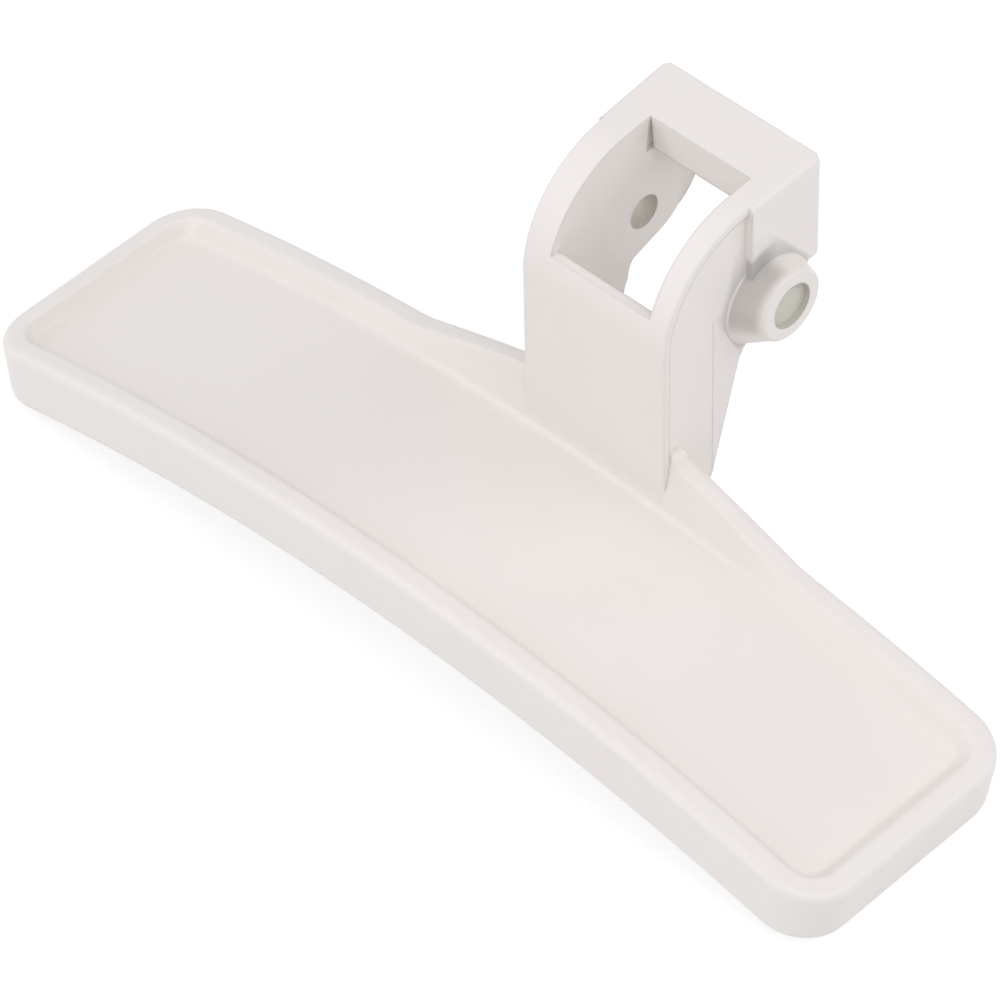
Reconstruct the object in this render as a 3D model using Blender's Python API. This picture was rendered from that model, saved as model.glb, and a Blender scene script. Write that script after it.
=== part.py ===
"""Door handle of a washing machine: one moulded piece, a grip plate with a hinge bracket.

The plate is an arched tray with a rounded rim. The bracket stands at its far edge: a front
wall that bends over into a top with a window in it, and two thin ears that carry the pivot bore.
"""

import math

import bmesh
import bpy

MM = 0.001

# Grip plate. X runs along it, Y across it towards the bracket, Z up.
PLATE_LENGTH = 150.2 * MM
PLATE_WIDTH = 38.9 * MM
PLATE_HEIGHT = 9.5 * MM
CORNER_RADIUS = 7.4 * MM
ARCH_RADIUS = 307.0 * MM
SIDE_SPREAD = 0.35 * MM
END_SPREAD = 1.0 * MM
BASE_EDGE_RADIUS = 1.9 * MM
RIM_EDGE_RADIUS = 1.2 * MM
RIM_WIDTH = 2.6 * MM
RIM_INNER_RADIUS = 1.2 * MM
PAN_DEPTH = 2.7 * MM
PAN_WALL_ANGLE = 55.0
PAN_FILLET = 1.6 * MM

# Where the far rim sweeps up into the ears.
FLARE_HEIGHT = 5.2 * MM
FLARE_REACH_LEFT = 21.0 * MM
FLARE_REACH_RIGHT = 20.5 * MM
FLARE_START = 0.09
FLARE_FOOT = 4.3 * MM
FLARE_FILLET = 0.8 * MM

# Hinge bracket. Its height is measured from the rim at the plate's middle.
BRACKET_OFFSET = 5.25 * MM
BRACKET_SETBACK = 4.1 * MM
BRACKET_FRONT_WIDTH = 24.8 * MM
BRACKET_BACK_WIDTH = 25.6 * MM
BRACKET_DEPTH = 28.2 * MM
BRACKET_HEIGHT = 40.4 * MM
TOP_RISE = 0.08
BEND_RADIUS = 15.5 * MM
SHEET = 2.1 * MM
WINDOW_OFFSET = 0.4 * MM
WINDOW_WIDTH = 17.2 * MM
WINDOW_SILL = 28.1 * MM
BAR_DEPTH = 8.1 * MM
BAR_HEIGHT = 5.2 * MM

# Ears: the back edge leans, turns under the pivot and runs up to the top.
EAR_FOOT_DEPTH = 9.5 * MM
EAR_LEAN = 0.29
UNDER_PIVOT = 16.3 * MM
UNDER_SLOPE = 0.32
KNEE_RADIUS = 3.6 * MM
HEEL_RADIUS = 8.5 * MM
EAR_RECESS = 0.65 * MM
LIP = 1.0 * MM
BORDER_DEPTH = 9.7 * MM
BORDER_RECESS = 0.3 * MM

# The thicker block at the top and back of the bracket, which stands out from the ears.
BLOCK_DEPTH = 12.8 * MM
BLOCK_HEIGHT = 17.2 * MM
BLOCK_WIDTH = 27.1 * MM
BLOCK_NARROWING = 0.025

# Round recess about the pivot on each ear's inner face.
DISH_RADIUS = 9.0 * MM
DISH_FLOOR_RADIUS = 4.5 * MM
DISH_DEPTH = 0.5 * MM

# Pivot: the bore through both ears and the tube outside the right ear.
PIVOT_BACK = 19.2 * MM
PIVOT_HEIGHT = 22.5 * MM
BORE_RADIUS = 2.75 * MM
TUBE_END = 17.0 * MM
TUBE_ROOT_RADIUS = 5.8 * MM
TUBE_END_RADIUS = 4.9 * MM
SKIRT_ROOT_RADIUS = 7.7 * MM
SKIRT_END_RADIUS = 5.5 * MM
SKIRT_TILT = 25.0
TUBE_MOUTH_RADIUS = 3.3 * MM
TUBE_MOUTH_DEPTH = 0.8 * MM

# How finely round shapes are cut.
CORNER_STEPS = 4
PLAIN_STEP = 4.5 * MM
FLARE_STEP = 1.3 * MM
WIDTH_STEPS = 6
ARC_STEPS = 3
BEND_STEPS = 14
ROUND_STEPS = 40
CREASE_ANGLE = 28.0

OVERLAP = 0.4 * MM
CLEAR = 5.0 * MM

COLOUR = (0.80, 0.775, 0.745, 1.0)
ROUGHNESS = 0.38


def clear_scene():
    for old in list(bpy.data.objects):
        bpy.data.objects.remove(old, do_unlink=True)


def bent(x, rise):
    """A point at x along the plate and at a rise over its rim, bent to the plate's arch."""
    angle = math.asin(x / ARCH_RADIUS)
    radius = ARCH_RADIUS + rise
    return radius * math.sin(angle), radius * math.cos(angle) - ARCH_RADIUS


def smooth(t):
    t = min(max(t, 0.0), 1.0)
    return t * t * (3.0 - 2.0 * t)


def front_y():
    return PLATE_WIDTH / 2 - BRACKET_SETBACK


def half_width(depth):
    """Half the bracket's width at a depth behind its front face: the ears spread a little."""
    spread = (BRACKET_BACK_WIDTH - BRACKET_FRONT_WIDTH) / 2
    return BRACKET_FRONT_WIDTH / 2 + spread * depth / BRACKET_DEPTH


def block_half(depth):
    """Half the block's width at a depth: it narrows a little towards the front."""
    return BLOCK_WIDTH / 2 - BLOCK_NARROWING * (BRACKET_DEPTH - depth)


def top_z(depth):
    return BRACKET_HEIGHT - TOP_RISE * (BRACKET_DEPTH - depth)


def flare(x):
    """How far the far rim has risen at x: a straight slope from a soft start, then a fillet at the ear."""
    away = abs(x - BRACKET_OFFSET) - BRACKET_FRONT_WIDTH / 2
    reach = FLARE_REACH_LEFT if x < BRACKET_OFFSET else FLARE_REACH_RIGHT
    share = min(1.0 - away / reach, 1.0)
    if share < FLARE_START:
        share = max(share + FLARE_START, 0.0) ** 2 / (4 * FLARE_START)
    near = FLARE_FILLET - min(max(away, 0.0), FLARE_FILLET)
    return FLARE_HEIGHT * share + FLARE_FILLET - math.sqrt(FLARE_FILLET ** 2 - near ** 2)


def stations():
    """Where the plate is cut across: close together along the flare, wider apart elsewhere."""
    reach = PLATE_LENGTH / 2 - CORNER_RADIUS
    ear = BRACKET_FRONT_WIDTH / 2
    marks = [-reach, BRACKET_OFFSET - ear - FLARE_REACH_LEFT, BRACKET_OFFSET - ear]
    marks += [BRACKET_OFFSET + ear, BRACKET_OFFSET + ear + FLARE_REACH_RIGHT, reach]
    places = [marks[0]]
    for low, high, step in zip(marks, marks[1:], (PLAIN_STEP, FLARE_STEP, PLAIN_STEP, FLARE_STEP, PLAIN_STEP)):
        count = math.ceil((high - low) / step)
        places += [low + (high - low) * i / count for i in range(1, count + 1)]
    return places


def rounded_outline(inset):
    """The plate's outline in plan, as four lists that meet at the middles of the corners."""
    half_x = PLATE_LENGTH / 2 - inset
    half_y = PLATE_WIDTH / 2 - inset
    radius = CORNER_RADIUS - inset
    turn = [math.radians(45) * step / CORNER_STEPS for step in range(CORNER_STEPS + 1)]
    side = [(-half_x + radius - radius * math.cos(math.radians(45) + a),
             -half_y + radius - radius * math.sin(math.radians(45) + a)) for a in turn]
    near = side + [(x, -half_y) for x in stations()[1:-1]]
    near += [(-x, y) for x, y in reversed(side)]
    end = [(-half_x + radius - radius * math.cos(math.radians(45) - a),
            -half_y + radius - radius * math.sin(math.radians(45) - a)) for a in turn]
    rise = half_y - radius
    end += [(-half_x, -rise + 2 * rise * step / WIDTH_STEPS) for step in range(1, WIDTH_STEPS)]
    left = end + [(x, -y) for x, y in reversed(end[:CORNER_STEPS + 1])]
    far = [(x, -y) for x, y in near]
    right = [(-x, y) for x, y in left]
    return near, far, left, right


def plan_grid(inset):
    """A grid of plan points that fills the outline, blended from its four sides."""
    near, far, left, right = rounded_outline(inset)
    columns, rows = len(near) - 1, len(left) - 1
    grid = []
    for i in range(columns + 1):
        u = i / columns
        line = []
        for j in range(rows + 1):
            v = j / rows
            point = []
            for axis in (0, 1):
                along = (1 - v) * near[i][axis] + v * far[i][axis]
                across = (1 - u) * left[j][axis] + u * right[j][axis]
                corners = ((1 - u) * (1 - v) * near[0][axis] + u * (1 - v) * near[-1][axis]
                           + (1 - u) * v * far[0][axis] + u * v * far[-1][axis])
                point.append(along + across - corners)
            line.append(tuple(point))
        grid.append(line)
    return grid


def border(grid):
    """The grid's outer points in order: near side, right end, far side, left end."""
    near = [line[0] for line in grid]
    right = [point for point in grid[-1]]
    far = [line[-1] for line in reversed(grid)]
    left = [point for point in reversed(grid[0])]
    return near[:-1] + right[:-1] + far[:-1] + left[:-1]


def flare_share(depth):
    """How much of the flare's rise a point takes, at a depth in from the far edge."""
    return 1.0 - smooth((depth - RIM_WIDTH) / (FLARE_FOOT - RIM_WIDTH))


def plate_point(x, y, height):
    """Puts a point of the section on the arch, with the spread of the walls and the flare."""
    rise = height - PLATE_HEIGHT
    wide_x = x * (1 - 2 * END_SPREAD * rise / PLATE_HEIGHT / PLATE_LENGTH)
    wide_y = y * (1 - 2 * SIDE_SPREAD * rise / PLATE_HEIGHT / PLATE_WIDTH)
    bent_x, z = bent(wide_x, rise)
    if height > PLATE_HEIGHT / 2:
        z += flare(x) * flare_share(PLATE_WIDTH / 2 - y)
    return bent_x, wide_y, z


def section():
    """Inset and height of each ring of the plate, from the underside round the wall into the pan."""
    turns = [math.radians(90) * step / ARC_STEPS for step in range(ARC_STEPS + 1)]
    rings = [(BASE_EDGE_RADIUS * (1 - math.sin(a)), BASE_EDGE_RADIUS * (1 - math.cos(a))) for a in turns]
    rings += [(RIM_EDGE_RADIUS * (1 - math.cos(a)), PLATE_HEIGHT - RIM_EDGE_RADIUS * (1 - math.sin(a)))
              for a in turns]
    wall = math.radians(PAN_WALL_ANGLE)
    turns = [wall * step / ARC_STEPS for step in range(ARC_STEPS + 1)]
    rings += [(RIM_WIDTH + RIM_INNER_RADIUS * math.sin(a), PLATE_HEIGHT - RIM_INNER_RADIUS * (1 - math.cos(a)))
              for a in turns]
    straight = PAN_DEPTH - (RIM_INNER_RADIUS + PAN_FILLET) * (1 - math.cos(wall))
    foot = RIM_WIDTH + (RIM_INNER_RADIUS + PAN_FILLET) * math.sin(wall) + straight / math.tan(wall)
    rings += [(foot - PAN_FILLET * math.sin(a), PLATE_HEIGHT - PAN_DEPTH + PAN_FILLET * (1 - math.cos(a)))
              for a in reversed(turns)]
    return rings


def new_object(name, shape):
    """An object from a closed shape, shaded smooth between its real edges."""
    bmesh.ops.recalc_face_normals(shape, faces=shape.faces)
    mesh = bpy.data.meshes.new(name)
    shape.to_mesh(mesh)
    shape.free()
    mesh.shade_smooth()
    mesh.set_sharp_from_angle(angle=math.radians(CREASE_ANGLE))
    thing = bpy.data.objects.new(name, mesh)
    bpy.context.scene.collection.objects.link(thing)
    return thing


def make_plate():
    shape = bmesh.new()
    rings = []
    for inset, height in section():
        points = border(plan_grid(inset))
        rings.append([shape.verts.new(plate_point(x, y, height)) for x, y in points])
    count = len(rings[0])
    for lower, upper in zip(rings, rings[1:]):
        for i in range(count):
            j = (i + 1) % count
            shape.faces.new((lower[i], lower[j], upper[j], upper[i]))
    for ring, (inset, height) in ((rings[0], section()[0]), (rings[-1], section()[-1])):
        grid = plan_grid(inset)
        known = dict(zip(border(grid), ring))
        for line in grid:
            for point in line:
                if point not in known:
                    known[point] = shape.verts.new(plate_point(*point, height))
        for i in range(len(grid) - 1):
            for j in range(len(grid[0]) - 1):
                corners = (grid[i][j], grid[i + 1][j], grid[i + 1][j + 1], grid[i][j + 1])
                shape.faces.new([known[point] for point in corners])
    return new_object("door_handle", shape)


def prism(name, outline, half_at, x_from=-1.0, x_to=1.0):
    """A solid with an outline in depth and height, between two sides that follow half_at(depth)."""
    shape = bmesh.new()
    sides = []
    for share in (x_from, x_to):
        sides.append([shape.verts.new((BRACKET_OFFSET + half_at(depth, share), front_y() + depth, height))
                      for depth, height in outline])
    shape.faces.new(sides[0])
    shape.faces.new(list(reversed(sides[1])))
    for i in range(len(outline)):
        j = (i + 1) % len(outline)
        shape.faces.new((sides[0][j], sides[0][i], sides[1][i], sides[1][j]))
    return new_object(name, shape)


def arc(centre, radius, start, end, steps):
    """Points on an arc in depth and height, with angles in degrees."""
    points = []
    for step in range(steps + 1):
        angle = math.radians(start + (end - start) * step / steps)
        points.append((centre[0] + radius * math.cos(angle), centre[1] + radius * math.sin(angle)))
    return points


def bend(inset):
    """The front wall's bend, set in from the outer face, from the upright to the top's slope."""
    slope = math.degrees(math.atan(TOP_RISE))
    reach = BEND_RADIUS * (1 - math.sin(math.radians(slope)))
    height = top_z(reach) - BEND_RADIUS * math.cos(math.radians(slope))
    return arc((BEND_RADIUS, height), BEND_RADIUS - inset, 180, 90 + slope, BEND_STEPS)


def rounded(before, corner, after, radius, steps):
    """An arc that rounds the corner between two straight lines, in depth and height."""
    into = math.atan2(corner[1] - before[1], corner[0] - before[0])
    out = math.atan2(after[1] - corner[1], after[0] - corner[0])
    turn = (out - into + math.pi) % (2 * math.pi) - math.pi
    side = math.copysign(1.0, turn)
    run = radius * math.tan(abs(turn) / 2)
    centre = (corner[0] - run * math.cos(into) - side * radius * math.sin(into),
              corner[1] - run * math.sin(into) + side * radius * math.cos(into))
    start = math.degrees(into) - side * 90
    return arc(centre, radius, start, start + math.degrees(turn), steps)


def under_z(depth):
    """Height of the ears' lower edge, which slopes up towards the back."""
    return UNDER_PIVOT + UNDER_SLOPE * (depth - PIVOT_BACK)


def bracket_outline():
    back = BRACKET_DEPTH
    low = -PLATE_HEIGHT / 2
    foot = (EAR_FOOT_DEPTH, low)
    knee_depth = (EAR_FOOT_DEPTH + EAR_LEAN * (under_z(0.0) - low)) / (1 - EAR_LEAN * UNDER_SLOPE)
    knee = (knee_depth, under_z(knee_depth))
    heel = (back, under_z(back))
    top = (back, top_z(back))
    start = (0.0, 1.0 * MM - PLATE_HEIGHT)
    under = (BRACKET_SETBACK - 1.0 * MM, 0.6 * MM - PLATE_HEIGHT)
    outline = [start, under, foot]
    outline += rounded(foot, knee, heel, KNEE_RADIUS, 5)
    outline += rounded(knee, heel, top, HEEL_RADIUS, 10)
    return outline + [top] + list(reversed(bend(0.0)))


def block_outline():
    """The block's side view. It starts inside the ears, so that it joins them."""
    front = BRACKET_DEPTH - BLOCK_DEPTH
    low = BRACKET_HEIGHT - BLOCK_HEIGHT
    return [(front, low), (BRACKET_DEPTH, low), (BRACKET_DEPTH, top_z(BRACKET_DEPTH)), (front, top_z(front))]


def gap_outline():
    """The gap between the ears, behind the front wall, with the window over it."""
    far = BRACKET_DEPTH + CLEAR
    bar = BRACKET_DEPTH - BAR_DEPTH
    high = BRACKET_HEIGHT + CLEAR
    sill = [(SHEET, 0.0), (SHEET, WINDOW_SILL), (-CLEAR, WINDOW_SILL), (-CLEAR, high)]
    return sill + [(bar, high), (bar, top_z(bar) - BAR_HEIGHT), (far, top_z(far) - BAR_HEIGHT), (far, 0.0)]


def low_gap_outline():
    """The foot of the gap, where the plate's rim would fill it."""
    far = BRACKET_DEPTH + CLEAR
    high = FLARE_HEIGHT + FLARE_FILLET + CLEAR
    return [(SHEET, 0.0), (SHEET, high), (far, high), (far, 0.0)]


def pocket_outline():
    """The shallow recess in an ear's outer face, inside the lip, the block and the back border."""
    low = -PLATE_HEIGHT
    block = BRACKET_DEPTH - BLOCK_DEPTH
    block_z = BRACKET_HEIGHT - BLOCK_HEIGHT
    lip = [point for point in bend(LIP) if point[0] < block]
    outline = [(LIP, low)] + lip + [(block, top_z(block) - LIP), (block, block_z)]
    return outline + [(BORDER_DEPTH, block_z), (BORDER_DEPTH, low)]


def border_outline():
    """The strip of an ear's outer face along its back edge and under the block."""
    low = -PLATE_HEIGHT
    far = BRACKET_DEPTH + CLEAR
    block_z = BRACKET_HEIGHT - BLOCK_HEIGHT
    return [(BORDER_DEPTH - OVERLAP, low), (BORDER_DEPTH - OVERLAP, block_z), (far, block_z), (far, low)]


def gap_side(side):
    """Where an ear's inner face stands, from the bracket's middle."""
    return WINDOW_OFFSET + side * WINDOW_WIDTH / 2


def rod(name, radius_from, radius_to, x_from, x_to, start=0.0, sweep=360.0):
    """A round bar on the pivot's axis, or the part of one that the sweep keeps."""
    shape = bmesh.new()
    steps = round(ROUND_STEPS * sweep / 360)
    ends = []
    for x, radius in ((x_from, radius_from), (x_to, radius_to)):
        ring = arc((front_y() + PIVOT_BACK, PIVOT_HEIGHT), radius, start, start + sweep, steps)
        if sweep == 360.0:
            ring.pop()
        ends.append([shape.verts.new((BRACKET_OFFSET + x, y, z)) for y, z in ring])
    shape.faces.new(ends[0])
    shape.faces.new(list(reversed(ends[1])))
    count = len(ends[0])
    for i in range(count):
        j = (i + 1) % count
        shape.faces.new((ends[0][j], ends[0][i], ends[1][i], ends[1][j]))
    return new_object(name, shape)


def join(handle, tool, operation):
    """Adds a helper to the handle, or cuts it away."""
    tool.hide_render = True
    tool.display_type = "WIRE"
    tool.parent = handle
    change = handle.modifiers.new(tool.name, "BOOLEAN")
    change.operation = operation
    change.solver = "EXACT"
    change.object = tool


def plastic():
    material = bpy.data.materials.new("white_plastic")
    material.use_nodes = True
    shader = material.node_tree.nodes["Principled BSDF"]
    shader.inputs["Base Color"].default_value = COLOUR
    shader.inputs["Roughness"].default_value = ROUGHNESS
    shader.inputs["Metallic"].default_value = 0.0
    return material


def make_bracket():
    """The bracket with its gap, its recesses, its tube and its bore, before it joins the plate."""
    bracket = prism("bracket", bracket_outline(), lambda d, s: s * half_width(d))
    for name, side in (("left", -1), ("right", 1)):
        for what, outline, recess in (("pocket_", pocket_outline(), EAR_RECESS),
                                      ("border_", border_outline(), BORDER_RECESS)):
            cutter = prism(what + name, outline,
                           lambda d, s, side=side, recess=recess: side * (half_width(d) - recess + s * CLEAR),
                           0.0, 1.0)
            join(bracket, cutter, "DIFFERENCE")
    join(bracket, prism("block", block_outline(), lambda d, s: s * block_half(d)), "UNION")
    join(bracket, prism("gap", gap_outline(), lambda d, s: gap_side(s)), "DIFFERENCE")
    for name, side in (("left", -1), ("right", 1)):
        grow = (DISH_RADIUS - DISH_FLOOR_RADIUS) / DISH_DEPTH * OVERLAP
        dish = rod("dish_" + name, DISH_RADIUS + grow, DISH_FLOOR_RADIUS,
                   gap_side(side) - side * OVERLAP, gap_side(side) + side * DISH_DEPTH)
        join(bracket, dish, "DIFFERENCE")
    root = half_width(PIVOT_BACK) - EAR_RECESS - OVERLAP
    join(bracket, rod("tube", TUBE_ROOT_RADIUS, TUBE_END_RADIUS, root, TUBE_END), "UNION")
    tilt = 180 + SKIRT_TILT
    join(bracket, rod("skirt", SKIRT_ROOT_RADIUS, SKIRT_END_RADIUS, root, TUBE_END, tilt, 180.0), "UNION")
    far = TUBE_END + CLEAR
    join(bracket, rod("bore", BORE_RADIUS, BORE_RADIUS, -far, far), "DIFFERENCE")
    mouth = TUBE_END - TUBE_MOUTH_DEPTH
    join(bracket, rod("mouth", TUBE_MOUTH_RADIUS, TUBE_MOUTH_RADIUS, mouth, far), "DIFFERENCE")
    return bracket


def make_handle():
    handle = make_plate()
    join(handle, make_bracket(), "UNION")
    join(handle, prism("low_gap", low_gap_outline(), lambda d, s: gap_side(s)), "DIFFERENCE")
    handle.data.materials.append(plastic())
    return handle


def settle(handle):
    """Moves the handle so that the middle of its box stands on the origin."""
    bpy.context.view_layer.update()
    graph = bpy.context.evaluated_depsgraph_get()
    corners = [handle.matrix_world @ v.co for v in handle.evaluated_get(graph).data.vertices]
    low = [min(c[axis] for c in corners) for axis in range(3)]
    high = [max(c[axis] for c in corners) for axis in range(3)]
    handle.location = (-(low[0] + high[0]) / 2, -(low[1] + high[1]) / 2, -low[2])


clear_scene()
settle(make_handle())
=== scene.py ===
import math

import bmesh
import bpy
from mathutils import Matrix, Vector


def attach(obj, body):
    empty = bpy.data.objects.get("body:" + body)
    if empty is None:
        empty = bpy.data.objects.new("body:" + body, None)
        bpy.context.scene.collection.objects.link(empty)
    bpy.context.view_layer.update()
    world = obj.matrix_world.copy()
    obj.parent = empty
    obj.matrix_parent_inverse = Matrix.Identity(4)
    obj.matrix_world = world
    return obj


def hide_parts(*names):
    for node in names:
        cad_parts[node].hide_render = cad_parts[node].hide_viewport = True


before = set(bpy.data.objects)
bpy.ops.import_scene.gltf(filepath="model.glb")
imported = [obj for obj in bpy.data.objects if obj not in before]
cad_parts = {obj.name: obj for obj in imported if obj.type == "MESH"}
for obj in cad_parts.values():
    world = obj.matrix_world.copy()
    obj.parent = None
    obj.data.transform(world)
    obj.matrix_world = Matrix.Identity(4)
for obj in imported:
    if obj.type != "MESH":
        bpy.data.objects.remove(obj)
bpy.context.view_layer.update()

MM = 0.001
WHITE = (1.0, 1.0, 1.0, 1.0)

# The middle of the plate's rim, where the part's sizes are measured from.
RIM_MIDDLE = Vector((0.0, -11.91, 18.314)) * MM

# The photo's camera, found from the handle's outline. It starts at a point by the handle, given
# from the rim's middle, and moves back, aside and up in its own directions. Angles in degrees.
FOCAL_PIXELS = 6548.689
PHOTO_PIXELS = 1000
SENSOR_WIDTH = 36.0
AZIMUTH = 44.848
ELEVATION = 45.749
ROLL = -1.398
CAMERA_FOOT = Vector((18.073, -21.799, 0.0)) * MM
DISTANCE = 823.713 * MM
ASIDE = 4.319 * MM
ABOVE = 18.647 * MM
CLIP_START = 0.05
CLIP_END = 20.0

# Soft square lamps, all as far and as large (metres): name, azimuth from the front and elevation
# (degrees), and share of a plain level.
LAMP_AIM = Vector((0.0, 0.0, 0.03))
LAMP_DISTANCE = 0.9
LAMP_SIZE = 0.55
LAMPS = (
    ("front low", -12, 14, 0.18),
    ("left key", -45, 40, 0.15),
    ("left high", -90, 65, 0.085),
    ("left low", -90, 12, 0.05),
    ("camera side", 60, 48, 0.16),
    ("right", 92, 48, 0.12),
    ("right back", 135, 40, 0.15),
    ("right back low", 140, 12, 0.05),
)

# The even light of the room.
ROOM_COLOUR = (1.0, 0.998, 0.994, 1.0)
ROOM_LIGHT = 0.50

# The floor: what it casts back on the handle, and what is seen of it, a glow with a faint shadow.
FLOOR_HALF = 3.0
FLOOR_DROP = 0.2 * MM
FLOOR_BOUNCE = (0.86, 0.86, 0.86, 1.0)
FLOOR_SHADE = (0.3, 0.3, 0.3, 1.0)
FLOOR_GLOW = 0.78

# The plastic: two close tones in faint clouds, with a satin gloss that follows them.
TONES = ((0.3, (0.813, 0.772, 0.749, 1.0)), (0.7, (0.831, 0.792, 0.769, 1.0)))
ROUGHNESS_FROM = 0.34
ROUGHNESS_TO = 0.46
REFRACTION = 1.49
GLOSS = 0.5

# Its clouds, its slow waves and its fine grain: repeats a metre and levels of detail.
CLOUD = (45.0, 4.0)
WAVE = (160.0, 1.0)
GRAIN = (2600.0, 2.0)

# How strong the waves and the grain are, and how deep.
WAVE_RELIEF = (0.25, 0.05 * MM)
GRAIN_RELIEF = (0.12, 0.02 * MM)

# How far edges are softened where they aren't rounded in the shape.
SOFT_EDGE = 0.45 * MM
SOFT_EDGE_SAMPLES = 4

# Painted shade in the pivot bore: a darker colour where the deep hole gets little light, and where
# it fades in, outside the bore's radius.
BORE_SHADE = (0.59, 0.565, 0.51, 1.0)
BORE_FADE = (0.08 * MM, 0.02 * MM)

# The shaded front flank of the boss: its colour and its middle (degrees over level), and where the
# shade starts and is full: in turn from its middle (cosines), at its foot, at its end and outside
# the skirt's root radius.
FLANK_COLOUR = (0.56, 0.53, 0.51, 1.0)
FLANK_MIDDLE = 35.0
FLANK_TURN = (0.4, 0.8)
FLANK_FOOT = (12.1 * MM, 12.4 * MM)
FLANK_END = (16.7 * MM, 15.1 * MM)
FLANK_OUTSIDE = (2.0 * MM, 0.8 * MM)

# Grip plate. X runs along it, Y across it towards the bracket, Z up.
PLATE_LENGTH = 150.4 * MM
PLATE_WIDTH = 38.9 * MM
PLATE_HEIGHT = 9.5 * MM
CORNER_RADIUS = 7.4 * MM
ARCH_RADIUS = 307.0 * MM
SIDE_SPREAD = 0.35 * MM
END_SPREAD = 0.6 * MM
BASE_EDGE_RADIUS = 1.9 * MM
RIM_EDGE_RADIUS = 1.2 * MM
RIM_WIDTH = 2.6 * MM
RIM_INNER_RADIUS = 1.2 * MM
PAN_DEPTH = 2.7 * MM
PAN_WALL_ANGLE = 55.0
PAN_FILLET = 1.6 * MM

# How much steeper the pan's wall is at the left end than elsewhere, and how far in that reaches.
LEFT_WALL_SHIFT = 1.5 * MM
LEFT_WALL_REACH = 9.0 * MM

# Where the far rim sweeps up into the ears.
FLARE_HEIGHT = 5.2 * MM
FLARE_REACH_LEFT = 21.0 * MM
FLARE_REACH_RIGHT = 20.5 * MM
FLARE_START = 0.09
FLARE_FOOT = 4.3 * MM
FLARE_FILLET = 0.8 * MM

# Hinge bracket. Its height is measured from the rim at the plate's middle.
BRACKET_OFFSET = 5.25 * MM
BRACKET_SETBACK = 4.1 * MM
BRACKET_FRONT_WIDTH = 24.8 * MM
BRACKET_BACK_WIDTH = 25.6 * MM
BRACKET_DEPTH = 28.2 * MM
BRACKET_HEIGHT = 40.4 * MM
TOP_RISE = 0.08
BEND_RADIUS = 16.2 * MM
SHEET = 2.1 * MM
WINDOW_OFFSET = 0.6 * MM
WINDOW_WIDTH = 17.1 * MM
WINDOW_SILL = 28.1 * MM
BAR_DEPTH = 8.8 * MM
BAR_HEIGHT = 5.2 * MM

# The bracket's foot inside the plate: how far it stays over the underside, in front and under the
# plate's far edge, and how far it stays in from that edge.
FOOT_OVER_FRONT = 1.0 * MM
FOOT_OVER_BACK = 0.6 * MM
FOOT_INSIDE = 1.0 * MM

# Ears: the back edge leans, turns under the pivot and runs up to the top.
EAR_FOOT_DEPTH = 9.5 * MM
EAR_LEAN = 0.28
UNDER_PIVOT = 16.3 * MM
UNDER_SLOPE = 0.32
KNEE_RADIUS = 3.6 * MM
HEEL_RADIUS = 8.5 * MM
EAR_RECESS = 0.65 * MM
LIP = 1.0 * MM
BORDER_DEPTH = 9.7 * MM
BORDER_RECESS = 0.62 * MM

# The thicker block at the top and back of the bracket, which stands out from the ears.
BLOCK_DEPTH = 12.8 * MM
BLOCK_HEIGHT = 17.2 * MM
BLOCK_WIDTH = 27.1 * MM
BLOCK_NARROWING = 0.025

# Round recess about the pivot on each ear's inner face.
DISH_RADIUS = 9.3 * MM
DISH_FLOOR_RADIUS = 7.2 * MM
DISH_DEPTH = 1.0 * MM

# Pivot: the bore through both ears, and the boss outside the right ear, a tube in a sloping skirt.
PIVOT_BACK = 19.2 * MM
PIVOT_HEIGHT = 22.5 * MM
BORE_RADIUS = 2.5 * MM
TUBE_END = 16.8 * MM
TUBE_ROOT_RADIUS = 5.8 * MM
TUBE_END_RADIUS = 5.3 * MM
SKIRT_ROOT_RADIUS = 7.3 * MM
SKIRT_END_RADIUS = 5.3 * MM
SKIRT_SINK = 1.2 * MM
TUBE_MOUTH_RADIUS = 3.3 * MM
TUBE_MOUTH_DEPTH = 0.8 * MM

# The dark notch in the window's far left corner: its reach from the corner at its foot.
NOTCH_ASIDE = 0.6 * MM
NOTCH_OVER = 0.6 * MM
NOTCH_FRONT = 0.8 * MM
NOTCH_BACK = 1.3 * MM

# Radii of the moulding's edges.
EAR_EDGE_RADIUS = 0.3 * MM
BLOCK_EDGE_RADIUS = 0.9 * MM
TUBE_EDGE_RADIUS = 0.45 * MM

# How finely round shapes are cut.
CORNER_STEPS = 10
PLAIN_STEP = 2.2 * MM
FLARE_STEP = 0.7 * MM
WIDTH_STEPS = 16
ARC_STEPS = 7
BEND_STEPS = 36
KNEE_STEPS = 5
HEEL_STEPS = 10
ROUND_STEPS = 96
EDGE_STEPS = 3
BLOCK_EDGE_STEPS = 5

# Edges that turn by more than these angles (degrees) are rounded in a helper, or stay sharp in the
# finished handle. There the larger faces lead the shading, by this weight.
ROUND_ANGLE = 35.0
CREASE_ANGLE = 32.0
FACE_WEIGHT = 80

# How far joined shapes reach into each other, and how far cutters reach past what they cut.
OVERLAP = 0.4 * MM
CLEAR = 5.0 * MM

helpers = []


def link(thing):
    bpy.context.scene.collection.objects.link(thing)
    return thing


def bent(x, rise):
    """A point at x along the plate and at a rise over its rim, bent to the plate's arch."""
    angle = math.asin(x / ARCH_RADIUS)
    radius = ARCH_RADIUS + rise
    return radius * math.sin(angle), radius * math.cos(angle) - ARCH_RADIUS


def smooth(t):
    t = min(max(t, 0.0), 1.0)
    return t * t * (3.0 - 2.0 * t)


def front_y():
    return PLATE_WIDTH / 2 - BRACKET_SETBACK


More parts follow.
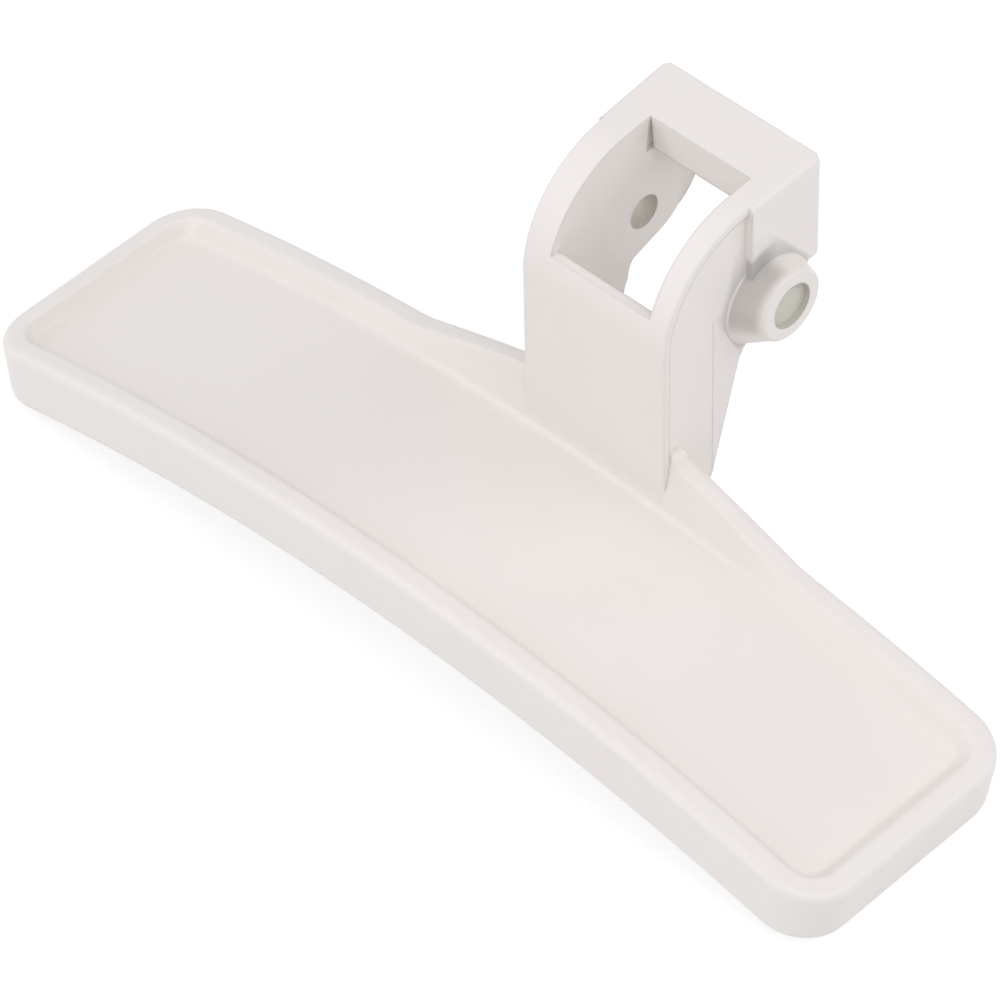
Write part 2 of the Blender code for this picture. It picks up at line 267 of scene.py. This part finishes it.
def half_width(depth):
    """Half the bracket's width at a depth behind its front face: the ears spread a little."""
    spread = (BRACKET_BACK_WIDTH - BRACKET_FRONT_WIDTH) / 2
    return BRACKET_FRONT_WIDTH / 2 + spread * depth / BRACKET_DEPTH


def block_half(depth):
    """Half the block's width at a depth: it narrows a little towards the front."""
    return BLOCK_WIDTH / 2 - BLOCK_NARROWING * (BRACKET_DEPTH - depth)


def top_z(depth):
    """Height of the bracket's top, which rises a little towards the back."""
    return BRACKET_HEIGHT - TOP_RISE * (BRACKET_DEPTH - depth)


def flare(x):
    """How far the far rim has risen at x: a soft start, a straight slope, a fillet at the ear."""
    away = abs(x - BRACKET_OFFSET) - BRACKET_FRONT_WIDTH / 2
    reach = FLARE_REACH_LEFT if x < BRACKET_OFFSET else FLARE_REACH_RIGHT
    share = min(1.0 - away / reach, 1.0)
    if share < FLARE_START:
        share = max(share + FLARE_START, 0.0) ** 2 / (4 * FLARE_START)
    near = FLARE_FILLET - min(max(away, 0.0), FLARE_FILLET)
    return FLARE_HEIGHT * share + FLARE_FILLET - math.sqrt(FLARE_FILLET ** 2 - near ** 2)


def stations():
    """Where the plate is cut across: close together along the flare, wider apart elsewhere."""
    reach = PLATE_LENGTH / 2 - CORNER_RADIUS
    ear = BRACKET_FRONT_WIDTH / 2
    marks = [-reach, BRACKET_OFFSET - ear - FLARE_REACH_LEFT, BRACKET_OFFSET - ear]
    marks += [BRACKET_OFFSET + ear, BRACKET_OFFSET + ear + FLARE_REACH_RIGHT, reach]
    steps = (PLAIN_STEP, FLARE_STEP, PLAIN_STEP, FLARE_STEP, PLAIN_STEP)
    places = [marks[0]]
    for low, high, step in zip(marks, marks[1:], steps):
        count = math.ceil((high - low) / step)
        places += [low + (high - low) * i / count for i in range(1, count + 1)]
    return places


def rounded_outline(inset):
    """The plate's outline in plan, as four lists that meet at the middles of the corners."""
    half_x = PLATE_LENGTH / 2 - inset
    half_y = PLATE_WIDTH / 2 - inset
    radius = CORNER_RADIUS - inset
    turn = [math.radians(45) * step / CORNER_STEPS for step in range(CORNER_STEPS + 1)]
    side = [(-half_x + radius - radius * math.cos(math.radians(45) + a),
             -half_y + radius - radius * math.sin(math.radians(45) + a)) for a in turn]
    near = side + [(x, -half_y) for x in stations()[1:-1]]
    near += [(-x, y) for x, y in reversed(side)]
    end = [(-half_x + radius - radius * math.cos(math.radians(45) - a),
            -half_y + radius - radius * math.sin(math.radians(45) - a)) for a in turn]
    rise = half_y - radius
    end += [(-half_x, -rise + 2 * rise * step / WIDTH_STEPS) for step in range(1, WIDTH_STEPS)]
    left = end + [(x, -y) for x, y in reversed(end[:CORNER_STEPS + 1])]
    far = [(x, -y) for x, y in near]
    right = [(-x, y) for x, y in left]
    return near, far, left, right


def plan_grid(inset):
    """A grid of plan points that fills the outline, blended from its four sides."""
    near, far, left, right = rounded_outline(inset)
    columns, rows = len(near) - 1, len(left) - 1
    grid = []
    for i in range(columns + 1):
        u = i / columns
        line = []
        for j in range(rows + 1):
            v = j / rows
            point = []
            for axis in (0, 1):
                along = (1 - v) * near[i][axis] + v * far[i][axis]
                across = (1 - u) * left[j][axis] + u * right[j][axis]
                corners = ((1 - u) * (1 - v) * near[0][axis] + u * (1 - v) * near[-1][axis]
                           + (1 - u) * v * far[0][axis] + u * v * far[-1][axis])
                point.append(along + across - corners)
            line.append(tuple(point))
        grid.append(line)
    return grid


def border(grid):
    """The grid's outer points in order: near side, right end, far side, left end."""
    near = [line[0] for line in grid]
    right = grid[-1]
    far = [line[-1] for line in reversed(grid)]
    left = list(reversed(grid[0]))
    return near[:-1] + right[:-1] + far[:-1] + left[:-1]


def flare_share(depth):
    """How much of the flare's rise a point takes, at a depth in from the far edge."""
    return 1.0 - smooth((depth - RIM_WIDTH) / (FLARE_FOOT - RIM_WIDTH))


def plate_point(x, y, height, inset):
    """Puts a point of the section on the arch, with the spread of the walls and the flare."""
    if inset > RIM_WIDTH:
        from_end = x + PLATE_LENGTH / 2 - RIM_WIDTH
        near_end = smooth(1.0 + (LEFT_WALL_REACH - from_end) / LEFT_WALL_REACH)
        x -= LEFT_WALL_SHIFT * near_end * (PLATE_HEIGHT - height) / PAN_DEPTH
    rise = height - PLATE_HEIGHT
    wide_x = x * (1 - 2 * END_SPREAD * rise / PLATE_HEIGHT / PLATE_LENGTH)
    wide_y = y * (1 - 2 * SIDE_SPREAD * rise / PLATE_HEIGHT / PLATE_WIDTH)
    bent_x, z = bent(wide_x, rise)
    if height > PLATE_HEIGHT / 2:
        z += flare(x) * flare_share(PLATE_WIDTH / 2 - y)
    return bent_x, wide_y, z


def section():
    """Inset and height of each ring of the plate, from the underside round the wall to the pan."""
    turns = [math.radians(90) * step / ARC_STEPS for step in range(ARC_STEPS + 1)]
    rings = [(BASE_EDGE_RADIUS * (1 - math.sin(a)), BASE_EDGE_RADIUS * (1 - math.cos(a)))
             for a in turns]
    rings += [(RIM_EDGE_RADIUS * (1 - math.cos(a)),
               PLATE_HEIGHT - RIM_EDGE_RADIUS * (1 - math.sin(a))) for a in turns]
    wall = math.radians(PAN_WALL_ANGLE)
    turns = [wall * step / ARC_STEPS for step in range(ARC_STEPS + 1)]
    rings += [(RIM_WIDTH + RIM_INNER_RADIUS * math.sin(a),
               PLATE_HEIGHT - RIM_INNER_RADIUS * (1 - math.cos(a))) for a in turns]
    straight = PAN_DEPTH - (RIM_INNER_RADIUS + PAN_FILLET) * (1 - math.cos(wall))
    foot = RIM_WIDTH + (RIM_INNER_RADIUS + PAN_FILLET) * math.sin(wall) + straight / math.tan(wall)
    rings += [(foot - PAN_FILLET * math.sin(a),
               PLATE_HEIGHT - PAN_DEPTH + PAN_FILLET * (1 - math.cos(a))) for a in reversed(turns)]
    return rings


def new_object(name, shape):
    """An object from a closed shape, with all its faces turned outwards."""
    bmesh.ops.recalc_face_normals(shape, faces=shape.faces)
    mesh = bpy.data.meshes.new(name)
    shape.to_mesh(mesh)
    shape.free()
    return link(bpy.data.objects.new(name, mesh))


def make_plate():
    """The grip plate: its rings joined into walls, closed by a grid below and one in the pan."""
    shape = bmesh.new()
    rings = []
    for inset, height in section():
        points = border(plan_grid(inset))
        rings.append([shape.verts.new(plate_point(x, y, height, inset)) for x, y in points])
    count = len(rings[0])
    for lower, upper in zip(rings, rings[1:]):
        for i in range(count):
            j = (i + 1) % count
            shape.faces.new((lower[i], lower[j], upper[j], upper[i]))
    for ring, (inset, height) in ((rings[0], section()[0]), (rings[-1], section()[-1])):
        grid = plan_grid(inset)
        known = dict(zip(border(grid), ring))
        for line in grid:
            for point in line:
                if point not in known:
                    known[point] = shape.verts.new(plate_point(*point, height, inset))
        for i in range(len(grid) - 1):
            for j in range(len(grid[0]) - 1):
                corners = (grid[i][j], grid[i + 1][j], grid[i + 1][j + 1], grid[i][j + 1])
                shape.faces.new([known[point] for point in corners])
    return new_object("door_handle", shape)


def skin(name, first, last):
    """A solid between two like rings of points."""
    shape = bmesh.new()
    ends = [[shape.verts.new(point) for point in ring] for ring in (first, last)]
    shape.faces.new(ends[0])
    shape.faces.new(list(reversed(ends[1])))
    for i in range(len(first)):
        j = (i + 1) % len(first)
        shape.faces.new((ends[0][j], ends[0][i], ends[1][i], ends[1][j]))
    return new_object(name, shape)


def prism(name, outline, half_at, x_from=-1.0, x_to=1.0):
    """A solid with an outline in depth and height, between two sides that half_at places."""
    sides = [[(BRACKET_OFFSET + half_at(depth, share), front_y() + depth, height)
              for depth, height in outline] for share in (x_from, x_to)]
    return skin(name, *sides)


def arc(centre, radius, start, end, steps):
    """Points on an arc in depth and height, with angles in degrees."""
    points = []
    for step in range(steps + 1):
        angle = math.radians(start + (end - start) * step / steps)
        points.append((centre[0] + radius * math.cos(angle), centre[1] + radius * math.sin(angle)))
    return points


def bend(inset):
    """The front wall's bend, set in from the outer face, from the upright to the top's slope."""
    slope = math.degrees(math.atan(TOP_RISE))
    reach = BEND_RADIUS * (1 - math.sin(math.radians(slope)))
    height = top_z(reach) - BEND_RADIUS * math.cos(math.radians(slope))
    return arc((BEND_RADIUS, height), BEND_RADIUS - inset, 180, 90 + slope, BEND_STEPS)


def rounded(before, corner, after, radius, steps):
    """An arc that rounds the corner between two straight lines, in depth and height."""
    into = math.atan2(corner[1] - before[1], corner[0] - before[0])
    out = math.atan2(after[1] - corner[1], after[0] - corner[0])
    turn = (out - into + math.pi) % (2 * math.pi) - math.pi
    side = math.copysign(1.0, turn)
    run = radius * math.tan(abs(turn) / 2)
    centre = (corner[0] - run * math.cos(into) - side * radius * math.sin(into),
              corner[1] - run * math.sin(into) + side * radius * math.cos(into))
    start = math.degrees(into) - side * 90
    return arc(centre, radius, start, start + math.degrees(turn), steps)


def under_z(depth):
    """Height of the ears' lower edge, which slopes up towards the back."""
    return UNDER_PIVOT + UNDER_SLOPE * (depth - PIVOT_BACK)


def bracket_outline():
    """The bracket's side view, from its foot in the plate round the back edge and over the bend."""
    low = -PLATE_HEIGHT / 2
    foot = (EAR_FOOT_DEPTH, low)
    lean = EAR_LEAN * (under_z(0.0) - low)
    knee_depth = (EAR_FOOT_DEPTH + lean) / (1 - EAR_LEAN * UNDER_SLOPE)
    knee = (knee_depth, under_z(knee_depth))
    heel = (BRACKET_DEPTH, under_z(BRACKET_DEPTH))
    top = (BRACKET_DEPTH, top_z(BRACKET_DEPTH))
    start = (0.0, FOOT_OVER_FRONT - PLATE_HEIGHT)
    under = (BRACKET_SETBACK - FOOT_INSIDE, FOOT_OVER_BACK - PLATE_HEIGHT)
    outline = [start, under, foot]
    outline += rounded(foot, knee, heel, KNEE_RADIUS, KNEE_STEPS)
    outline += rounded(knee, heel, top, HEEL_RADIUS, HEEL_STEPS)
    return outline + [top] + list(reversed(bend(0.0)))


def block_outline():
    """The block's side view. It starts inside the ears, so that it joins them."""
    front = BRACKET_DEPTH - BLOCK_DEPTH
    low = BRACKET_HEIGHT - BLOCK_HEIGHT
    top = top_z(BRACKET_DEPTH)
    return [(front, low), (BRACKET_DEPTH, low), (BRACKET_DEPTH, top), (front, top_z(front))]


def gap_outline():
    """The gap between the ears, behind the front wall, with the window over it."""
    far = BRACKET_DEPTH + CLEAR
    bar = BRACKET_DEPTH - BAR_DEPTH
    high = BRACKET_HEIGHT + CLEAR
    sill = [(SHEET, 0.0), (SHEET, WINDOW_SILL), (-CLEAR, WINDOW_SILL), (-CLEAR, high)]
    under_bar = [(bar, top_z(bar) - BAR_HEIGHT), (far, top_z(far) - BAR_HEIGHT)]
    return sill + [(bar, high)] + under_bar + [(far, 0.0)]


def low_gap_outline():
    """The foot of the gap, where the plate's rim would fill it."""
    far = BRACKET_DEPTH + CLEAR
    high = FLARE_HEIGHT + FLARE_FILLET + CLEAR
    return [(SHEET, 0.0), (SHEET, high), (far, high), (far, 0.0)]


def pocket_outline():
    """The recess in an ear's outer face, inside the lip, the block and the back border."""
    low = -PLATE_HEIGHT
    block = BRACKET_DEPTH - BLOCK_DEPTH
    block_z = BRACKET_HEIGHT - BLOCK_HEIGHT
    lip = [point for point in bend(LIP) if point[0] < block]
    outline = [(LIP, low)] + lip + [(block, top_z(block) - LIP), (block, block_z)]
    return outline + [(BORDER_DEPTH, block_z), (BORDER_DEPTH, low)]


def border_outline():
    """The strip of an ear's outer face along its back edge and under the block."""
    near = BORDER_DEPTH - OVERLAP
    far = BRACKET_DEPTH + CLEAR
    low = -PLATE_HEIGHT
    high = BRACKET_HEIGHT - BLOCK_HEIGHT
    return [(near, low), (near, high), (far, high), (far, low)]


def gap_side(side):
    """Where an ear's inner face stands, from the bracket's middle."""
    return WINDOW_OFFSET + side * WINDOW_WIDTH / 2


def rod(name, radius_from, radius_to, x_from, x_to, sink=0.0):
    """A round bar on the pivot's axis. Its first end may lie lower, so that the bar slopes."""
    ends = []
    for x, radius, low in ((x_from, radius_from, sink), (x_to, radius_to, 0.0)):
        centre = (front_y() + PIVOT_BACK, PIVOT_HEIGHT - low)
        ring = arc(centre, radius, 0.0, 360.0, ROUND_STEPS)[:-1]
        ends.append([(BRACKET_OFFSET + x, y, z) for y, z in ring])
    return skin(name, *ends)


def join(handle, tool, operation):
    """Adds a helper to the handle, or cuts it away."""
    tool.hide_render = True
    helpers.append(tool)
    change = handle.modifiers.new(tool.name, "BOOLEAN")
    change.operation = operation
    change.solver = "EXACT"
    change.object = tool


def round_edges(thing, width):
    """Rounds a helper's sharp edges before it is joined."""
    change = thing.modifiers.new("round", "BEVEL")
    change.width = width
    change.segments = EDGE_STEPS
    change.limit_method = "ANGLE"
    change.angle_limit = math.radians(ROUND_ANGLE)


def round_block(block):
    """Rounds the block's edges, but for the front ones, which make a plain step on the ears."""
    front = front_y() + BRACKET_DEPTH - BLOCK_DEPTH + OVERLAP
    shape = bmesh.new()
    shape.from_mesh(block.data)
    edges = [edge for edge in shape.edges if max(v.co.y for v in edge.verts) > front]
    bmesh.ops.bevel(shape, geom=edges, offset=BLOCK_EDGE_RADIUS, segments=BLOCK_EDGE_STEPS,
                    profile=0.5, affect="EDGES")
    shape.to_mesh(block.data)
    shape.free()


def corner_notch():
    """A slender pyramid that cuts the corner between the left ear and the bar, its tip on top."""
    x, y = BRACKET_OFFSET + gap_side(-1), front_y() + BRACKET_DEPTH - BAR_DEPTH
    top = top_z(BRACKET_DEPTH - BAR_DEPTH)
    low = top - BAR_HEIGHT - OVERLAP
    left, right = x - NOTCH_ASIDE, x + NOTCH_OVER
    near, far = y - NOTCH_FRONT, y + NOTCH_BACK
    shape = bmesh.new()
    tip = shape.verts.new((x, y, top))
    foot = [shape.verts.new(point) for point in (
        (left, near, low), (right, near, low), (right, far, low), (left, far, low))]
    shape.faces.new(foot)
    for i in range(4):
        shape.faces.new((foot[(i + 1) % 4], foot[i], tip))
    return new_object("notch", shape)


def make_bracket():
    """The bracket with its recesses, block, gap, boss and bore, before it joins the plate."""
    bracket = prism("bracket", bracket_outline(), lambda d, s: s * half_width(d))
    round_edges(bracket, EAR_EDGE_RADIUS)
    for name, side in (("left", -1), ("right", 1)):
        for what, outline, recess in (("pocket_", pocket_outline(), EAR_RECESS),
                                      ("border_", border_outline(), BORDER_RECESS)):
            def outside(depth, share):
                return side * (half_width(depth) - recess + share * CLEAR)
            join(bracket, prism(what + name, outline, outside, 0.0, 1.0), "DIFFERENCE")
    block = prism("block", block_outline(), lambda d, s: s * block_half(d))
    round_block(block)
    join(bracket, block, "UNION")
    join(bracket, prism("gap", gap_outline(), lambda d, s: gap_side(s)), "DIFFERENCE")
    join(bracket, corner_notch(), "DIFFERENCE")
    grow = (DISH_RADIUS - DISH_FLOOR_RADIUS) / DISH_DEPTH * OVERLAP
    for name, side in (("left", -1), ("right", 1)):
        dish = rod("dish_" + name, DISH_RADIUS + grow, DISH_FLOOR_RADIUS,
                   gap_side(side) - side * OVERLAP, gap_side(side) + side * DISH_DEPTH)
        join(bracket, dish, "DIFFERENCE")
    root = half_width(PIVOT_BACK) - EAR_RECESS - OVERLAP
    tube = rod("tube", TUBE_ROOT_RADIUS, TUBE_END_RADIUS, root, TUBE_END)
    round_edges(tube, TUBE_EDGE_RADIUS)
    join(bracket, tube, "UNION")
    skirt = rod("skirt", SKIRT_ROOT_RADIUS, SKIRT_END_RADIUS, root,
                TUBE_END - TUBE_EDGE_RADIUS, SKIRT_SINK)
    join(bracket, skirt, "UNION")
    far = TUBE_END + CLEAR
    join(bracket, rod("bore", BORE_RADIUS, BORE_RADIUS, -far, far), "DIFFERENCE")
    mouth = rod("mouth", TUBE_MOUTH_RADIUS, TUBE_MOUTH_RADIUS, TUBE_END - TUBE_MOUTH_DEPTH, far)
    join(bracket, mouth, "DIFFERENCE")
    return bracket


def make_handle(material):
    """The handle as one fine mesh, shaded smooth but for its creases, with its flat faces flat."""
    rough = make_plate()
    join(rough, make_bracket(), "UNION")
    join(rough, prism("low_gap", low_gap_outline(), lambda d, s: gap_side(s)), "DIFFERENCE")
    bpy.context.view_layer.update()
    graph = bpy.context.evaluated_depsgraph_get()
    mesh = bpy.data.meshes.new_from_object(rough.evaluated_get(graph))
    for thing in helpers + [rough]:
        bpy.data.objects.remove(thing, do_unlink=True)
    mesh.materials.clear()
    mesh.materials.append(material)
    mesh.shade_smooth()
    mesh.set_sharp_from_angle(angle=math.radians(CREASE_ANGLE))
    handle = link(bpy.data.objects.new("handle", mesh))
    handle.location = RIM_MIDDLE
    flat = handle.modifiers.new("flat faces", "WEIGHTED_NORMAL")
    flat.keep_sharp = True
    flat.weight = FACE_WEIGHT
    return handle


def add(tree, kind, inputs, **settings):
    """A new node with its settings. Each input is linked to a socket, or else set to a value."""
    node = tree.nodes.new("ShaderNode" + kind)
    for name, value in settings.items():
        setattr(node, name, value)
    for key, value in inputs.items():
        if isinstance(value, bpy.types.NodeSocket):
            tree.links.new(value, node.inputs[key])
        else:
            node.inputs[key].default_value = value
    return node


def span(tree, value, low, high):
    """0 below low and 1 above high, with a soft step between. High may be the smaller one."""
    step = add(tree, "MapRange", {"Value": value, "From Min": low, "From Max": high},
               interpolation_type="SMOOTHSTEP")
    return step.outputs["Result"]


def blend(tree, share, first, second):
    """The first colour, giving way to the second as the share grows."""
    mix = add(tree, "Mix", {"Factor": share, 6: first, 7: second}, data_type="RGBA")
    return mix.outputs[2]


def shade_in_bore(tree, place, colour):
    """The plain colour, darkened with painted shade in the pivot bore, and by the boss in its mouth
    too.
    """
    split = add(tree, "SeparateXYZ", {0: place})
    across = add(tree, "CombineXYZ", {"Y": split.outputs["Y"], "Z": split.outputs["Z"]})
    pivot = (0.0, front_y() + PIVOT_BACK, PIVOT_HEIGHT)
    away = add(tree, "VectorMath", {0: across.outputs[0], 1: pivot}, operation="DISTANCE")
    outer = add(tree, "Math", {0: split.outputs["X"], 1: BRACKET_OFFSET + TUBE_END / 2},
                operation="GREATER_THAN")
    wider = add(tree, "Math", {0: outer.outputs[0], 1: BORE_RADIUS - TUBE_MOUTH_RADIUS,
                               2: away.outputs["Value"]}, operation="MULTIPLY_ADD")
    share = add(tree, "MapRange", {"Value": wider.outputs[0],
                                   "From Min": BORE_RADIUS + BORE_FADE[0],
                                   "From Max": BORE_RADIUS + BORE_FADE[1]})
    return blend(tree, share.outputs["Result"], colour, BORE_SHADE)


def on_flank(tree, place, colour):
    """The plain colour, darkened on the boss's front flank, where the ear keeps the light off."""
    pivot = Vector((0.0, front_y() + PIVOT_BACK, PIVOT_HEIGHT))
    away = add(tree, "VectorMath", {1: pivot, 0: place}, operation="SUBTRACT")
    across = add(tree, "VectorMath", {1: (0.0, 1.0, 1.0), 0: away.outputs[0]}, operation="MULTIPLY")
    way = add(tree, "VectorMath", {0: across.outputs[0]}, operation="NORMALIZE")
    middle = math.radians(FLANK_MIDDLE)
    facing = add(tree, "VectorMath", {1: (0.0, -math.cos(middle), math.sin(middle)),
                                      0: way.outputs[0]}, operation="DOT_PRODUCT")
    radius = add(tree, "VectorMath", {0: across.outputs[0]}, operation="LENGTH")
    along = add(tree, "SeparateXYZ", {0: place}).outputs["X"]
    share = span(tree, facing.outputs["Value"], *FLANK_TURN)
    for value, middle, limits in ((along, BRACKET_OFFSET, FLANK_FOOT),
                                  (along, BRACKET_OFFSET, FLANK_END),
                                  (radius.outputs["Value"], SKIRT_ROOT_RADIUS, FLANK_OUTSIDE)):
        part = span(tree, value, middle + limits[0], middle + limits[1])
        share = add(tree, "Math", {0: share, 1: part}, operation="MULTIPLY").outputs[0]
    return blend(tree, share, colour, FLANK_COLOUR)


def noise(tree, place, scale, detail):
    return add(tree, "TexNoise", {"Scale": scale, "Detail": detail, "Vector": place}).outputs["Fac"]


def relief(tree, height, normal, strength, distance):
    bump = add(tree, "Bump", {"Strength": strength, "Distance": distance, "Height": height,
                              "Normal": normal})
    return bump.outputs["Normal"]


def moulded_plastic():
    """Off-white moulded plastic: a cloudy tone, a fine satin grain and softly rounded edges."""
    material = bpy.data.materials.new("white_plastic")
    material.use_nodes = True
    tree = material.node_tree
    shader = tree.nodes["Principled BSDF"]
    place = add(tree, "TexCoord", {}).outputs["Object"]

    cloud = noise(tree, place, *CLOUD)
    tone = add(tree, "ValToRGB", {"Fac": cloud})
    for element, (position, colour) in zip(tone.color_ramp.elements, TONES):
        element.position = position
        element.color = colour
    shaded = on_flank(tree, place, tone.outputs["Color"])
    # Painted shade: the inside of the pivot bore is darkened in the colour.
    tree.links.new(shade_in_bore(tree, place, shaded), shader.inputs["Base Color"])

    low, high = (position for position, colour in TONES)
    rough = add(tree, "MapRange", {"Value": cloud, "From Min": low, "From Max": high,
                                   "To Min": ROUGHNESS_FROM, "To Max": ROUGHNESS_TO})
    tree.links.new(rough.outputs["Result"], shader.inputs["Roughness"])

    soft = add(tree, "Bevel", {"Radius": SOFT_EDGE}, samples=SOFT_EDGE_SAMPLES)
    waves = relief(tree, noise(tree, place, *WAVE), soft.outputs["Normal"], *WAVE_RELIEF)
    grain = relief(tree, noise(tree, place, *GRAIN), waves, *GRAIN_RELIEF)
    tree.links.new(grain, shader.inputs["Normal"])

    shader.inputs["IOR"].default_value = REFRACTION
    shader.inputs["Specular IOR Level"].default_value = GLOSS
    return material


def toward(azimuth, elevation):
    """The direction at an azimuth from the front and an elevation, both in radians."""
    return Vector((math.sin(azimuth) * math.cos(elevation),
                   -math.cos(azimuth) * math.cos(elevation), math.sin(elevation)))


def make_camera():
    azimuth, elevation, roll = (math.radians(a) for a in (AZIMUTH, ELEVATION, ROLL))
    back = toward(azimuth, elevation)
    level = Vector((math.cos(azimuth), math.sin(azimuth), 0.0))
    over = back.cross(level)
    right = level * math.cos(roll) + over * math.sin(roll)
    up = over * math.cos(roll) - level * math.sin(roll)
    data = bpy.data.cameras.new("camera")
    data.sensor_width = SENSOR_WIDTH
    data.lens = SENSOR_WIDTH * FOCAL_PIXELS / PHOTO_PIXELS
    data.clip_start = CLIP_START
    data.clip_end = CLIP_END
    camera = link(bpy.data.objects.new("camera", data))
    place = RIM_MIDDLE + CAMERA_FOOT + back * DISTANCE + right * ASIDE + up * ABOVE
    axes = Matrix((right, up, back)).transposed().to_4x4()
    camera.matrix_world = Matrix.Translation(place) @ axes
    bpy.context.scene.camera = camera


def lamp(name, azimuth, elevation, share):
    """A soft light. Its share is how much of a plain level it gives a surface that faces it."""
    data = bpy.data.lights.new(name, "AREA")
    data.shape = "SQUARE"
    data.size = LAMP_SIZE
    data.energy = share * math.pi**2 * LAMP_DISTANCE**2
    way = toward(math.radians(azimuth), math.radians(elevation))
    light = link(bpy.data.objects.new(name, data))
    light.location = LAMP_AIM + way * LAMP_DISTANCE
    light.rotation_euler = way.to_track_quat("Z", "Y").to_euler()


def seen_ray(tree):
    """1 for what the camera sees, directly or in a gloss, and 0 for light on the object."""
    path = add(tree, "LightPath", {})
    seen = path.outputs["Is Camera Ray"]
    for ray in ("Is Glossy Ray", "Is Transmission Ray"):
        seen = add(tree, "Math", {0: seen, 1: path.outputs[ray]}, operation="MAXIMUM").outputs[0]
    return seen


def make_world():
    """An even light on the handle, and plain white where the room itself is seen."""
    world = bpy.data.worlds.new("studio")
    bpy.context.scene.world = world
    world.use_nodes = True
    tree = world.node_tree
    tree.nodes.clear()
    room = add(tree, "Background", {"Color": ROOM_COLOUR, "Strength": ROOM_LIGHT})
    white = add(tree, "Background", {"Color": WHITE, "Strength": 1.0})
    mix = add(tree, "MixShader", {"Fac": seen_ray(tree), 1: room.outputs[0], 2: white.outputs[0]})
    add(tree, "OutputWorld", {"Surface": mix.outputs[0]})


def make_floor():
    """A pale floor that keeps the handle's shadow and fades into the white behind."""
    shape = bmesh.new()
    bmesh.ops.create_grid(shape, x_segments=1, y_segments=1, size=FLOOR_HALF)
    mesh = bpy.data.meshes.new("floor")
    shape.to_mesh(mesh)
    shape.free()
    floor = link(bpy.data.objects.new("floor", mesh))
    floor.location.z = -FLOOR_DROP
    material = bpy.data.materials.new("paper")
    material.use_nodes = True
    tree = material.node_tree
    tree.nodes.clear()
    bounce = add(tree, "BsdfDiffuse", {"Color": FLOOR_BOUNCE})
    shade = add(tree, "BsdfDiffuse", {"Color": FLOOR_SHADE})
    glow = add(tree, "Emission", {"Color": WHITE, "Strength": FLOOR_GLOW})
    seen = add(tree, "AddShader", {0: shade.outputs[0], 1: glow.outputs[0]})
    mix = add(tree, "MixShader", {"Fac": seen_ray(tree), 1: bounce.outputs[0], 2: seen.outputs[0]})
    add(tree, "OutputMaterial", {"Surface": mix.outputs[0]})
    mesh.materials.append(material)


handle = make_handle(moulded_plastic())
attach(handle, "root")
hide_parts("door_handle")

make_camera()
make_world()
for name, azimuth, elevation, share in LAMPS:
    lamp(name, azimuth, elevation, share)
make_floor()
bpy.context.scene.view_settings.view_transform = "Standard"
